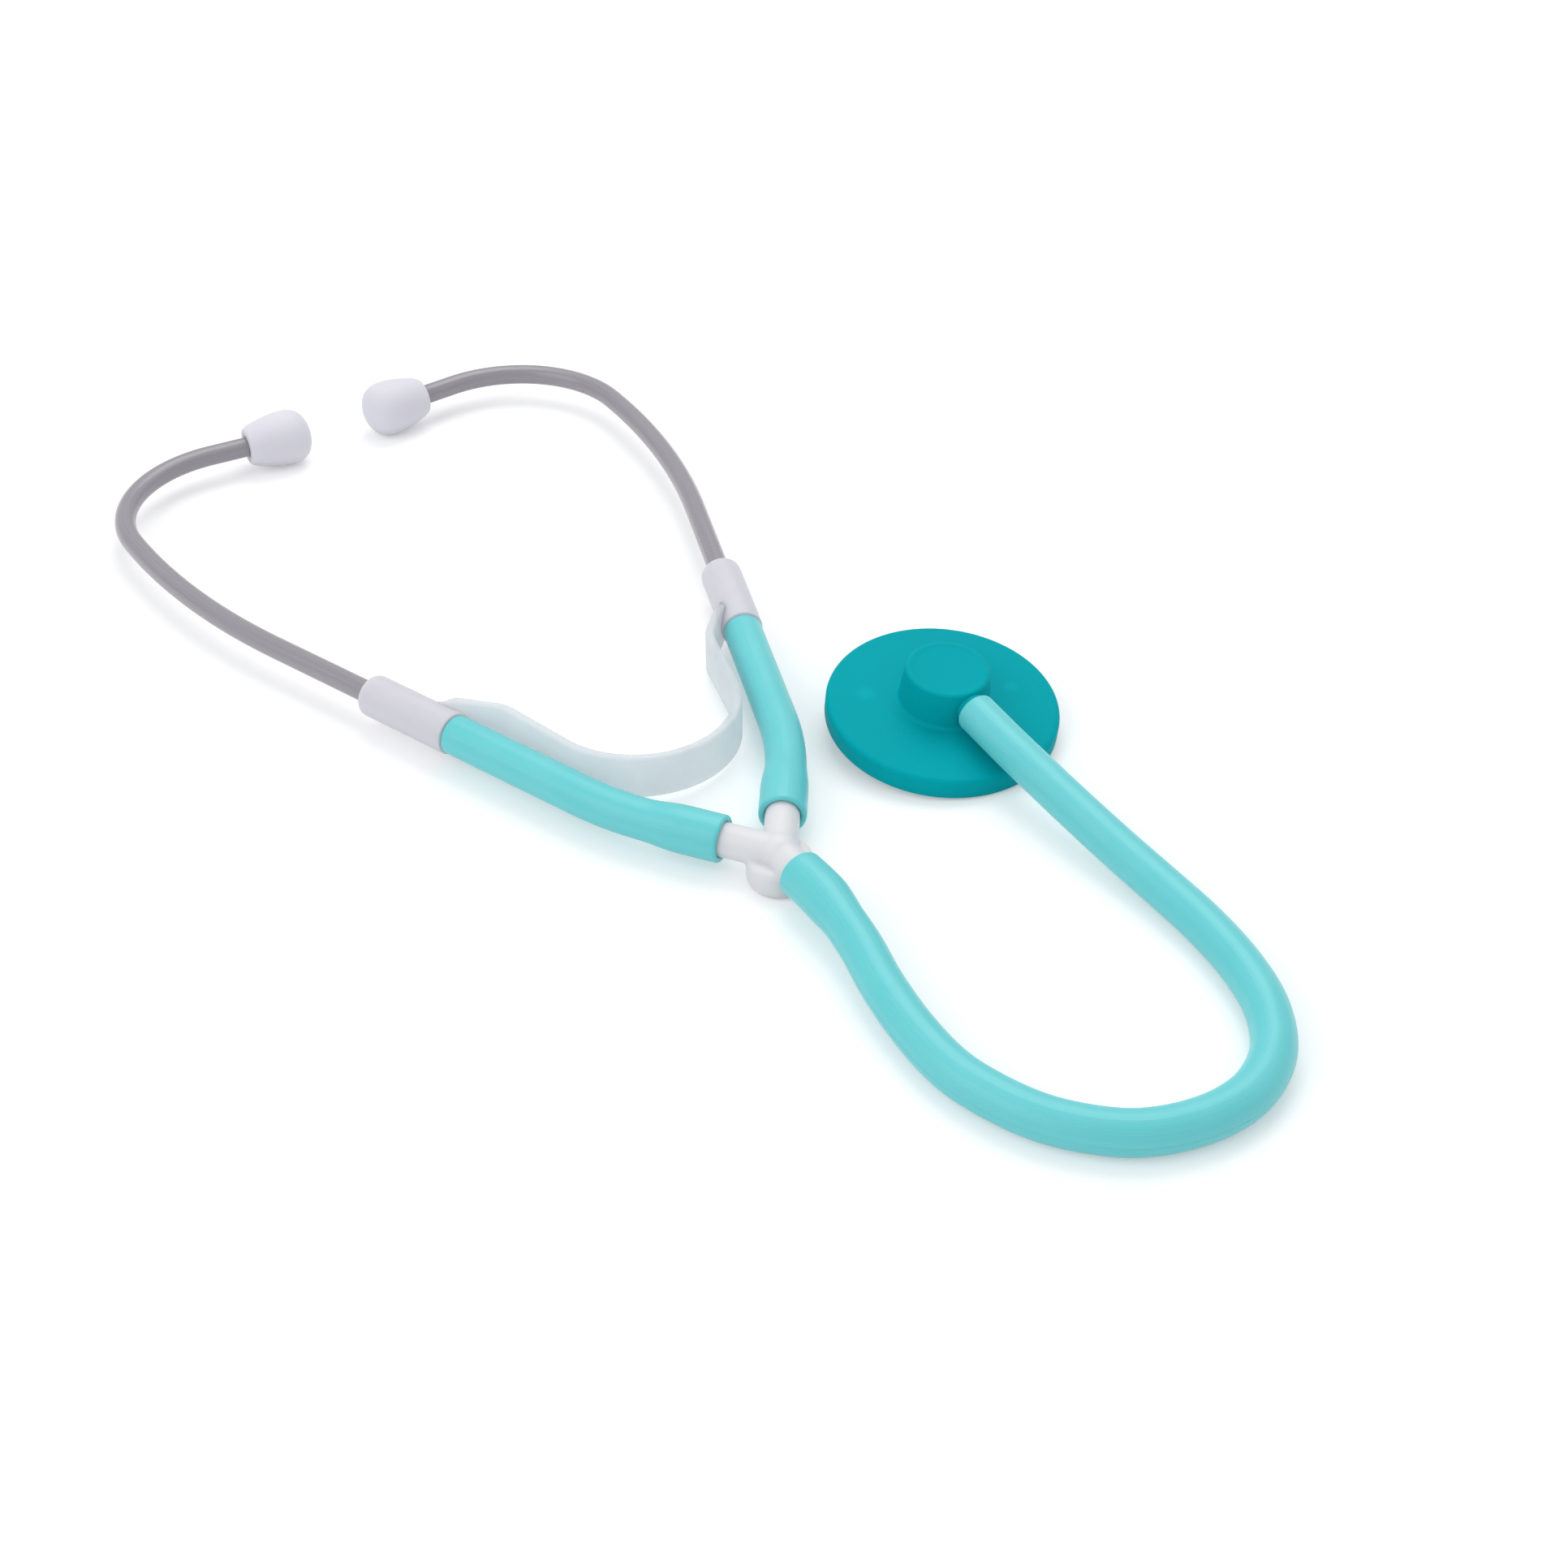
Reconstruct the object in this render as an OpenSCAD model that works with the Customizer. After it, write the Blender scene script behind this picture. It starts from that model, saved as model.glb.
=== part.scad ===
// Toy stethoscope lying on a table, in millimetres.
// The origin is the middle of the Y connector's foot, on the table. +Y runs along the headset towards
// the ear tips, +X is the side of the chest piece, and +Z is up.

/* [Tubing] */
// Outer diameter of the soft tubing
tube_od = 8; // [7:0.1:9.5]
// Bore of the soft tubing
tube_id = 5; // [4:0.1:5.6]
// Straight length of tube that is pushed over each arm of the Y connector
grip_len = 9; // [7:0.5:12]
// Radius of the bend in each short tube
short_bend_r = 66; // [50:1:90]
// Straight length of each short tube below its socket
short_straight = 32; // [26:0.5:38]

/* [Y connector] */
// Outer diameter of the three arms
spigot_od = 6.6; // [6:0.1:7]
// Angle of each upper arm from the headset's middle line
y_angle = 35.5; // [32:0.5:42]
// Length of bare upper arm, from the middle of the hub to the tube's end
arm_bare = 11; // [10:0.5:14]
// Diameter of the round foot under the hub
foot_d = 12.4; // [10:0.1:12.8]
// Bore of the air channels
air_d = 3; // [2:0.1:3.4]

/* [Headset] */
// Height of the headset's middle plane above the table
axis_z = 6.4; // [6.3:0.1:8]
// Angle of each socket from the headset's middle line
arm_angle = 20; // [16:1:24]
// Outer diameter of the sockets
socket_od = 8.6; // [8:0.1:9.4]
// Length of the sockets
socket_len = 22.5; // [19:0.5:27]
// Depth of the hole that takes the ear tube
socket_depth = 14; // [10:0.5:16]
// Rounding of the socket's upper rim
socket_round = 1.6; // [0.8:0.1:1.8]

/* [Spring strap] */
// Height of the strap
strap_h = 9.4; // [8:0.1:10.5]
// Thickness of the strap
strap_t = 1.8; // [1.4:0.1:2]
// Distance from the middle of a socket to the strap's knee
strap_offset = 8.3; // [8.1:0.1:9.5]
// Distance from the hub to the strap's round bottom
strap_bottom = 31.5; // [29:0.5:34]
// Lean of the strap's leg towards the short tube
strap_lean = 5; // [2:0.5:6]
// Angle between the socket and the tab that joins the strap to it
tab_turn = 24; // [22:1:28]

/* [Ear tubes] */
// Outer diameter of the ear tubes
ear_od = 4.5; // [4:0.1:5]
// Bore of the ear tubes
ear_id = 3; // [2:0.1:3.4]
// Straight length above the socket
ear_straight = 27; // [20:1:34]
// Radius of the long bend
long_bend_r = 158; // [140:1:180]
// Radius of the bend towards the ear
tight_bend_r = 26.5; // [22:0.5:30]
// Turn of the bend towards the ear
tight_turn = 95; // [86:1:100]
// Straight length between the last bend and the ear tip
ear_end = 8.5; // [7:0.5:12]

/* [Ear tips] */
// Length of an ear tip
tip_len = 15; // [13.5:0.5:17]
// Largest diameter of an ear tip
tip_d = 12.6; // [11:0.1:12.7]
// Diameter of the end that the ear tube enters
tip_base_d = 8.8; // [8:0.1:10]
// Depth of the hole that takes the ear tube
tip_depth = 9; // [7:0.5:10]

/* [Chest piece] */
// Diameter of the disc
disc_d = 46.4; // [43:0.2:49]
// Thickness of the disc at its rim
disc_t = 4.6; // [4.2:0.1:5.2]
// Rise of the disc's back from its rim to the hub
crown = 0.8; // [0.4:0.1:1.2]
// Diameter of the hub where it meets the disc
hub_base_d = 18; // [17:0.2:19]
// Diameter of the hub's flat top
hub_top_d = 16.6; // [15:0.2:16.8]
// Height of the hub above the disc
hub_h = 7.8; // [7.2:0.1:8.6]
// Sideways distance from the hub of the Y connector to the chest piece
chest_x = 52.2; // [50:0.1:58]
// Distance of the chest piece along the headset from the Y connector
chest_y = 21.9; // [20:0.1:28]
// Tip of the chest piece towards its stem
chest_tip = 7; // [5:0.5:8]

/* [Diaphragm] */
// Thickness of the diaphragm
film_t = 0.5; // [0.3:0.1:0.7]
// Height of the ring that holds the diaphragm
ring_t = 1.2; // [1:0.1:1.4]
// Width of the ring that holds the diaphragm
ring_w = 3; // [2.5:0.1:4]

/* [Hidden] */
$fn = 64;

// Clearances, and how far a cut runs past a solid or a joined solid runs into it
fit = 0.05;
slip = 0.1;
over = 1;

// Tubing
tube_r = tube_od / 2;
bore_r = tube_id / 2;
spigot_r = spigot_od / 2;
air_r = air_d / 2;
plug_r = bore_r - fit;
plug_len = 10;
grip_r = spigot_r + fit;
flare_r = sqrt(tube_r * tube_r - bore_r * bore_r + grip_r * grip_r);
flare_run = 4;

// Y connector
foot_r = foot_d / 2;
foot_round = 1.6;
foot_drop = 0.4;
foot_top = axis_z - foot_drop;
stem_reach = 0.3;
stem_bare = foot_r + stem_reach;
nose = 0.8;
hub_swell = 0.3;

// Points on the right half of the headset, in the plane of the table
function ahead(p, h, l) = p + l * [sin(h), cos(h)];
function after_bend(p, h, r, turn) = p + r * [cos(h - turn) - cos(h), sin(h) - sin(h - turn)];
hub = [0, 0];
short_turn = y_angle - arm_angle;
sleeve_len = grip_len + flare_run;
tube_end = ahead(hub, y_angle, arm_bare);
short_bend_start = ahead(tube_end, y_angle, sleeve_len);
short_bend_end = after_bend(short_bend_start, y_angle, short_bend_r, short_turn);
socket_foot = ahead(short_bend_end, arm_angle, short_straight);
socket_mouth = ahead(socket_foot, arm_angle, socket_len);
ear_foot = ahead(socket_mouth, arm_angle, -socket_depth + slip);
ear_bend_start = ahead(socket_mouth, arm_angle, ear_straight);
ear_bend_mid = after_bend(ear_bend_start, arm_angle, long_bend_r, arm_angle);
ear_bend_end = after_bend(ear_bend_mid, 0, tight_bend_r, tight_turn);
tip_foot = ahead(ear_bend_end, -tight_turn, ear_end);

// Strap: a round bottom that runs on into straight legs, each with a knee and a tab
function facing(h) = [sin(h), cos(h)];
function outwards(h) = [cos(h), -sin(h)];
strap_gap = 0.6;
leg_angle = arm_angle - strap_lean;
knee_turn = tab_turn + strap_lean;
knee_bend = 7;
strap_steps = 24;
knee_steps = 8;
knee_drop = (strap_offset - tube_r - strap_gap - strap_t / 2 / cos(tab_turn)) / tan(tab_turn);
knee = ahead(socket_foot, arm_angle, -knee_drop) - strap_offset * outwards(arm_angle);
strap_mid_y = (strap_bottom + knee * outwards(leg_angle)) / (1 - sin(leg_angle));
strap_r = strap_mid_y - strap_bottom;
tab_len = (strap_offset - socket_od / 2 - strap_gap - strap_t / 2 * cos(tab_turn)) / sin(tab_turn);
lug_end = 1.5;
lug_len = (strap_offset - lug_end) / sin(tab_turn) - tab_len;

// Ear tubes and tips
ear_r = ear_od / 2;
tip_r = tip_d / 2;
tip_base_r = tip_base_d / 2;
tip_wide_at = 0.64;
tip_nose = 0.42;
tip_steps = 14;
tip_fullness = 0.6;

// Chest piece, measured up from its listening face
disc_r = disc_d / 2;
disc_round = 1.2;
heel_round = 0.8;
rim_w = 2.4;
ring_r = disc_r - rim_w;
seat_lap = 1;
seat_r = ring_r - ring_w + seat_lap;
ring_gap = 0.2;
film_z = ring_gap + ring_t;
seat_z = film_z + film_t;
bell_depth = 1.8;
hub_z = disc_t + crown;
stem_z = hub_z + tube_r + slip;
stem_step = 0.2;
stem_out = hub_base_d / 2 + stem_step;
shoulder_drop = 0.9;
shoulder_r = tube_r - shoulder_drop;
chest_lift = (disc_r - heel_round) * sin(chest_tip);
stem_dir = [0, -cos(chest_tip), -sin(chest_tip)];
function chest_point(y, z) = [
    chest_x,
    chest_y + y * cos(chest_tip) - z * sin(chest_tip),
    chest_lift + y * sin(chest_tip) + z * cos(chest_tip)
];

// Sides of a swept tube, and how far its corners keep inside the round ends that it joins
hose_sides = 12;
pipe_sides = 16;
tuck = 0.04;

// Steps of each bend, and the straight lead at a route's ends
short_steps = 4;
long_steps = 6;
tight_steps = 14;
lead = 2;

// Main tube: the way that it lies between the Y connector and the chest piece
rest_z = tube_r + slip;
stem_end = chest_point(-stem_out - slip, stem_z);
lie = [
    [-1.5, -27.5, 5.9], [-3.9, -38.5, 5.2], [-5.3, -49.5, 4.5], [-5.4, -60, rest_z], [-3.6, -68.5, rest_z],
    [0, -77, rest_z], [5, -83.5, rest_z], [11, -88.5, rest_z], [18.5, -91.5, rest_z], [26.5, -92.5, rest_z],
    [34.5, -91, rest_z], [42.5, -86, rest_z], [48.5, -77.5, rest_z], [52, -67, rest_z], [53.8, -55, rest_z],
    [53.9, -43, 4.6], [53.4, -32, 5.6], [52.8, -21, 7], [52.4, -10.5, 8.35]
];
sleeve = [0, grip_len, sleeve_len];
main_route = concat(
    [for (d = sleeve) [0, -stem_bare - d, axis_z]],
    lie,
    [for (d = [plug_len + lead, 0]) stem_end + d * stem_dir]
);

// Short tube and ear tube: straight ends and bends in the headset's plane
function bend_points(p, h, r, turn, n) = [for (i = [1 : n]) after_bend(p, h, r, turn * i / n)];
function raised(path) = [for (p = path) [p.x, p.y, axis_z]];
short_route = raised(concat(
    [for (d = sleeve) ahead(tube_end, y_angle, d)],
    bend_points(short_bend_start, y_angle, short_bend_r, short_turn, short_steps),
    [for (d = [plug_len + lead, 0]) ahead(socket_foot, arm_angle, -d)]
));
ear_route = raised(concat(
    [ahead(ear_bend_start, arm_angle, -lead), ear_bend_start],
    bend_points(ear_bend_start, arm_angle, long_bend_r, arm_angle, long_steps),
    bend_points(ear_bend_mid, 0, tight_bend_r, tight_turn, tight_steps),
    [ahead(ear_bend_end, -tight_turn, lead)]
));

// One half of the headset, on the other side
module other_side() {
    mirror([1, 0, 0])
        children();
}

// Stands a shape that is drawn along Z at a point in the headset's plane, lying along a heading
module lay(p, h) {
    translate([p.x, p.y, axis_z])
        rotate([0, 0, -h])
            rotate([-90, 0, 0])
                children();
}

// A straight rod with a chamfered far end
module spigot(r, length) {
    cylinder(r = r, h = length - nose);
    translate([0, 0, length - nose])
        cylinder(r1 = r, r2 = r - nose / 2, h = nose);
}

// One ring of corners square to the route
function unit(v) = v / norm(v);
function way(path, i) = unit(path[min(i + 1, len(path) - 1)] - path[max(i - 1, 0)]);
function ring(p, dir, r, n) =
    let (across = unit(cross(dir, [0, 0, 1])), up = cross(across, dir))
    [for (k = [0 : n - 1]) p + r * (cos(360 * k / n) * across + sin(360 * k / n) * up)];

// A round bar along a route, with its own radius at each point
module sweep(path, radii, n) {
    last = len(path) - 1;
    points = [for (i = [0 : last]) each ring(path[i], way(path, i), radii[i], n)];
    sides = [for (i = [0 : last - 1]) for (k = [0 : n - 1])
        [i * n + k, i * n + (k + 1) % n, (i + 1) * n + (k + 1) % n, (i + 1) * n + k]];
    near_end = [for (k = [n - 1 : -1 : 0]) k];
    far_end = [for (k = [0 : n - 1]) last * n + k];
    polyhedron(points = points, faces = concat(sides, [near_end, far_end]));
}

// The route with both ends drawn out, so that a bore cuts right through
function longer(path) =
    let (last = len(path) - 1)
    concat(
        [path[0] - unit(path[1] - path[0])],
        [for (i = [1 : last - 1]) path[i]],
        [path[last] + unit(path[last] - path[last - 1])]
    );

function same(path, r) = [for (p = path) r];

// A soft tube along a route whose first two points grip an arm of the Y connector
module hose(path) {
    difference() {
        sweep(path, [for (i = [0 : len(path) - 1]) i < 2 ? flare_r : tube_r], hose_sides);
        sweep(longer(path), same(path, bore_r - tuck), hose_sides);
    }
}

// Outline of an ear tip: it widens to its fullest, then rounds off into a blunt nose
function tip_fall(u) = cos(90 * (u - tip_wide_at) / (1 - tip_wide_at));
function tip_radius(u) =
    u < tip_wide_at
        ? tip_base_r + (tip_r - tip_base_r) * sin(90 * u / tip_wide_at)
        : tip_r * (tip_nose + (1 - tip_nose) * pow(tip_fall(u), tip_fullness));

module ear_tip() {
    lay(tip_foot, -tight_turn)
        difference() {
            rotate_extrude()
                polygon(concat(
                    [[0, 0]],
                    [for (i = [0 : tip_steps]) [tip_radius(i / tip_steps), tip_len * i / tip_steps]],
                    [[0, tip_len]]
                ));
            translate([0, 0, -over])
                cylinder(r = ear_r + fit, h = tip_depth + over);
        }
}

// An ear tube's way as a solid bar: straight round ends that run on by a given length, and bends between
module ear_bar(bar_r, extra) {
    lay(ahead(ear_foot, arm_angle, -extra), arm_angle)
        cylinder(r = bar_r, h = socket_depth - slip + ear_straight + extra);
    sweep(ear_route, same(ear_route, bar_r - tuck), pipe_sides);
    lay(ear_bend_end, -tight_turn)
        cylinder(r = bar_r, h = ear_end + tip_depth - slip + extra);
}

module ear_tube() {
    difference() {
        ear_bar(ear_r, 0);
        ear_bar(ear_id / 2, over);
    }
}

// The lug that carries the strap's tab, in the socket's own plane
module lug() {
    rotate([90, 0, 0])
        translate([-strap_offset, -knee_drop, -strap_h / 2])
            rotate([0, 0, -tab_turn])
                translate([-strap_t / 2, tab_len, 0])
                    cube([strap_t, lug_len, strap_h]);
}

module socket() {
    lay(socket_foot, arm_angle)
        difference() {
            union() {
                rotate_extrude()
                    union() {
                        square([socket_od / 2, socket_len - socket_round]);
                        square([socket_od / 2 - socket_round, socket_len]);
                        translate([socket_od / 2 - socket_round, socket_len - socket_round])
                            circle(socket_round);
                    }
                mirror([0, 0, 1])
                    spigot(plug_r, plug_len);
                lug();
            }
            translate([0, 0, -plug_len - over])
                cylinder(r = air_r, h = plug_len + socket_len);
            translate([0, 0, socket_len - socket_depth])
                cylinder(r = ear_r + fit, h = socket_depth + over);
        }
}

// One face of the strap's right half, from the middle of its bottom to the end of its tab
knee_centre = knee - knee_bend * tan(knee_turn / 2) * facing(leg_angle) + knee_bend * outwards(leg_angle);
function bottom_point(a, side) = [0, strap_mid_y] + (strap_r + side) * [sin(a), -cos(a)];
function knee_point(a, side) = knee_centre - (knee_bend - side) * outwards(leg_angle + a);
function strap_edge(side) = concat(
    [for (i = [0 : strap_steps]) bottom_point((90 - leg_angle) * i / strap_steps, side)],
    [for (i = [0 : knee_steps]) knee_point(knee_turn * i / knee_steps, side)],
    [knee + tab_len * facing(leg_angle + knee_turn) + side * outwards(leg_angle + knee_turn)]
);
function mirrored(points) = [for (i = [len(points) - 1 : -1 : 1]) [-points[i].x, points[i].y]];
function backwards(points) = [for (i = [len(points) - 1 : -1 : 0]) points[i]];

module short_tube() {
    difference() {
        hose(short_route);
        lay(ahead(tube_end, y_angle, -over), y_angle)
            cylinder(r = grip_r, h = grip_len + over);
        lay(ahead(socket_foot, arm_angle, -plug_len - over), arm_angle)
            cylinder(r = bore_r, h = plug_len + 2 * over);
    }
}

// The space under the rim that takes the diaphragm and its ring, with the shallow bell above it
module bell() {
    translate([0, 0, -over])
        cylinder(r = ring_r, h = seat_z + over);
    translate([0, 0, seat_z])
        cylinder(r1 = seat_r, r2 = air_r, h = bell_depth);
    cylinder(r = air_r, h = stem_z);
}

module chest_place() {
    translate([chest_x, chest_y, chest_lift])
        rotate([chest_tip, 0, 0])
            children();
}

module along_stem() {
    translate([0, 0, stem_z])
        rotate([90, 0, 0])
            children();
}

module left_ear_tip() {
    color("whitesmoke") other_side() ear_tip();
}

module right_ear_tip() {
    color("whitesmoke") ear_tip();
}

module left_ear_tube() {
    color("darkgray") other_side() ear_tube();
}

module right_ear_tube() {
    color("darkgray") ear_tube();
}

module left_socket() {
    color("gainsboro") other_side() socket();
}

module right_socket() {
    color("gainsboro") socket();
}

module spring_strap() {
    outer = strap_edge(strap_t / 2);
    inner = strap_edge(-strap_t / 2);
    color("lightsteelblue")
        translate([0, 0, axis_z - strap_h / 2])
            linear_extrude(strap_h)
                polygon(concat(mirrored(outer), outer, backwards(inner), backwards(mirrored(inner))));
}

module left_tube() {
    color("mediumturquoise") other_side() short_tube();
}

module right_tube() {
    color("mediumturquoise") short_tube();
}

module y_connector() {
    upper_len = arm_bare + grip_len;
    stem_len = stem_bare + grip_len;
    color("whitesmoke")
        difference() {
            union() {
                translate([0, 0, axis_z])
                    sphere(spigot_r + hub_swell);
                for (h = [-y_angle, y_angle])
                    lay(hub, h)
                        spigot(spigot_r, upper_len);
                lay(hub, 180)
                    spigot(spigot_r, stem_len);
                rotate_extrude()
                    union() {
                        translate([0, foot_round])
                            square([foot_r, foot_top - foot_round]);
                        square([foot_r - foot_round, foot_top]);
                        translate([foot_r - foot_round, foot_round])
                            circle(foot_round);
                    }
            }
            for (h = [-y_angle, y_angle])
                lay(hub, h)
                    cylinder(r = air_r, h = upper_len + over);
            lay(hub, 180)
                cylinder(r = air_r, h = stem_len + over);
        }
}

module main_tube() {
    color("mediumturquoise")
        difference() {
            hose(main_route);
            lay([0, -stem_bare + over], 180)
                cylinder(r = grip_r, h = grip_len + over);
            chest_place()
                along_stem()
                    cylinder(r = bore_r, h = stem_out + plug_len + over);
        }
}

module chest_body() {
    color("darkcyan")
        chest_place()
            difference() {
                union() {
                    rotate_extrude($fn = 128)
                        union() {
                            translate([0, heel_round])
                                square([disc_r, disc_t - heel_round - disc_round]);
                            square([disc_r - heel_round, heel_round]);
                            square([disc_r - disc_round, disc_t]);
                            translate([disc_r - disc_round, disc_t - disc_round])
                                circle(disc_round);
                            translate([disc_r - heel_round, heel_round])
                                circle(heel_round);
                            polygon([
                                [0, disc_t / 2],
                                [disc_r - disc_round, disc_t / 2],
                                [disc_r - disc_round, disc_t],
                                [hub_base_d / 2, hub_z],
                                [0, hub_z]
                            ]);
                        }
                    translate([0, 0, hub_z - over])
                        cylinder(r1 = hub_base_d / 2, r2 = hub_top_d / 2, h = hub_h + over);
                    along_stem()
                        translate([0, 0, hub_top_d / 2 - over])
                            cylinder(r = shoulder_r, h = stem_out - hub_top_d / 2 + over);
                    along_stem()
                        spigot(plug_r, stem_out + plug_len);
                }
                bell();
                along_stem()
                    cylinder(r = air_r, h = stem_out + plug_len + over);
            }
}

module diaphragm() {
    color("lightgray", 0.6)
        chest_place()
            translate([0, 0, film_z])
                cylinder(r = ring_r - fit, h = film_t);
}

module diaphragm_ring() {
    color("teal")
        chest_place()
            translate([0, 0, ring_gap])
                difference() {
                    cylinder(r = ring_r - fit, h = ring_t);
                    translate([0, 0, -over])
                        cylinder(r = ring_r - ring_w, h = ring_t + 2 * over);
                }
}

left_ear_tip();
right_ear_tip();
left_ear_tube();
right_ear_tube();
left_socket();
right_socket();
spring_strap();
left_tube();
right_tube();
y_connector();
main_tube();
chest_body();
diaphragm();
diaphragm_ring();
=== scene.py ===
"""Looks of a toy stethoscope that lies on a white table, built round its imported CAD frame.

Sizes are in millimetres until a mesh is made. Finished objects, and depths in materials, are in metres.
"""
import math

import bmesh
import bpy
from mathutils import Matrix, Vector


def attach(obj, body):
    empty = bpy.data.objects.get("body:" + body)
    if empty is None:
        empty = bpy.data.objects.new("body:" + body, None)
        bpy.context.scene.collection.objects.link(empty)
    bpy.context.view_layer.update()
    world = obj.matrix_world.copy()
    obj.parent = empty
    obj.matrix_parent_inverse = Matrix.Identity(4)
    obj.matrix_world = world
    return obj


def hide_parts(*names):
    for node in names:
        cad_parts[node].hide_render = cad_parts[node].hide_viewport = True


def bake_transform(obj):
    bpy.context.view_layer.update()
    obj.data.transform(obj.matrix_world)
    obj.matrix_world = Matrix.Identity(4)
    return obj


MM = 0.001

# Camera, from the photograph: 1932 pixels square, principal point in the middle
CAMERA_TARGET = Vector((16.5, 24.0, 0)) * MM
CAMERA_DISTANCE = 470.6 * MM
CAMERA_ELEVATION = math.radians(37.5)
CAMERA_HEADING = math.radians(33.0)
CAMERA_LENS = 55.9

# Sizes repeated from the CAD, in millimetres and degrees
FIT, SLIP = 0.05, 0.1
TUBE_R, BORE_R = 4.0, 2.5
GRIP_R, FLARE_R = 3.35, 4.57
GRIP_LEN, FLARE_RUN = 9.0, 4.0
AXIS_Z = 6.4
Y_ANGLE, ARM_ANGLE = 35.5, 20.0
ARM_BARE = 11.0
SHORT_BEND_R, SHORT_STRAIGHT = 66.0, 32.0
SPIGOT_R, NOSE = 3.3, 0.8
FOOT_R, FOOT_ROUND, FOOT_DROP = 6.2, 1.6, 0.4
STEM_REACH = 0.3
SOCKET_R, SOCKET_LEN, SOCKET_DEPTH, SOCKET_ROUND = 4.3, 22.5, 14.0, 1.6
EAR_R, EAR_BORE_R = 2.25, 1.5
EAR_STRAIGHT, LONG_BEND_R, TIGHT_BEND_R, TIGHT_TURN, EAR_END = 27.0, 158.0, 26.5, 95.0, 8.5
TIP_LEN, TIP_R, TIP_BASE_R, TIP_DEPTH, TIP_WIDE_AT = 15.0, 6.3, 4.4, 9.0, 9.6
STRAP_H, STRAP_T, STRAP_OFFSET, STRAP_BOTTOM, STRAP_LEAN, TAB_TURN = 9.4, 1.8, 8.3, 31.5, 5.0, 24.0
STRAP_GAP, KNEE_BEND = 0.6, 7.0
DISC_R, DISC_T, CROWN = 23.2, 4.6, 0.8
HUB_BASE_R, HUB_TOP_R, HUB_H = 9.0, 8.3, 7.8
CHEST_X, CHEST_Y, CHEST_TIP = 52.2, 21.9, 7.0
DISC_ROUND, HEEL_ROUND = 1.2, 0.8
RIM_W, SEAT_Z = 2.4, 1.9
RECESS_R = DISC_R - RIM_W
HUB_Z = DISC_T + CROWN
STEM_STEP = 0.2
STEM_Z = HUB_Z + TUBE_R + SLIP
STEM_OUT = HUB_BASE_R + STEM_STEP
SHOULDER_R = TUBE_R - 0.9
PLUG_LEN = 10.0
REST_Z = TUBE_R + SLIP

# Sizes of the finish alone, in millimetres
FLARE_EARLY, FLARE_STRETCH = 1.5, 2
EAR_TUBE_GAP, PLUG_LEAD = 0.2, 2
TIP_MOUTH_W, TIP_MOUTH_H, TIP_EDGE = 0.3, 0.4, 0.7
SOCKET_LIP, SOCKET_EDGE = 0.3, 0.3
STRAP_CORNER = 0.6
TAB_END, TAB_NARROW, TAB_RUN = 2.6, 0.38, 4.6
HUB_SWELL = 0.5
FOOT_EDGE = 0.8
CONNECTOR_VOXEL = 0.24
RECESS_EDGE = 0.25
CROWN_INSET, CROWN_SPAN, CROWN_SINK = 1.6, 2.6, 0.08
HUB_FILLET, HUB_FILLET_AT, HUB_EDGE = 1.0, 0.95, 0.7
HUB_WAIST_IN, HUB_WAIST_UP = 0.25, 3.6
DISH, DISH_DEPTH = ((1.1, 0), (1.4, 0.1), (2.2, 0.16)), 0.18
STEM_FOOT = 7.3
LARGE_MARK, SMALL_MARK, MARK_SINK = (-12.4, 9.0), (14.2, -3.2), 0.3

# Steps of curved outlines and routes, and rounds of softening
RING_POINTS = 48
LIP_STEPS = 8
SHORT_STEPS, LONG_STEPS, TIGHT_STEPS = 24, 30, 40
TIP_STEPS, TIP_FULLNESS = 14, 0.85
BOTTOM_STEPS, BOTTOM_PAST, LEG_STEPS, KNEE_STEPS, TAB_STEPS = 28, 6, 8, 8, 16
CONNECTOR_ROUNDS = 6
CROWN_STEPS = 9

# Points of a short tube's route, on either side of its bend
BEND_FROM, BEND_TO = 12, -6

# Metres under which a face is a sliver, and the thinness that makes the closing face of the strap's cut clear
SLIVER = 1e-7
CUT_THIN = 2.6

# Metres: half the table's width, and how far it lies under the part
TABLE_HALF, TABLE_DROP = 12.0, 0.0002

# The way that the main tube lies, as in the CAD
LIE = [
    (-1.5, -27.5, 5.9), (-3.9, -38.5, 5.2), (-5.3, -49.5, 4.5), (-5.4, -60, REST_Z), (-3.6, -68.5, REST_Z),
    (0, -77, REST_Z), (5, -83.5, REST_Z), (11, -88.5, REST_Z), (18.5, -91.5, REST_Z), (26.5, -92.5, REST_Z),
    (34.5, -91, REST_Z), (42.5, -86, REST_Z), (48.5, -77.5, REST_Z), (52, -67, REST_Z), (53.8, -55, REST_Z),
    (53.9, -43, 4.6), (53.4, -32, 5.6), (52.8, -21, 7), (52.4, -10.5, 8.35),
]


def ahead(point, heading, length):
    """The point that lies a length ahead, in the headset's plane; headings turn from +Y towards +X."""
    h = math.radians(heading)
    return Vector((point[0] + length * math.sin(h), point[1] + length * math.cos(h)))


def after_bend(point, heading, radius, turn):
    """Where a bend to the left by a turn ends."""
    h, k = math.radians(heading), math.radians(heading - turn)
    across = radius * (math.cos(k) - math.cos(h))
    onwards = radius * (math.sin(h) - math.sin(k))
    return Vector((point[0] + across, point[1] + onwards))


def bend_points(point, heading, radius, turn, count):
    """Points round a bend, without its start."""
    return [after_bend(point, heading, radius, turn * i / count) for i in range(1, count + 1)]


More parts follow.
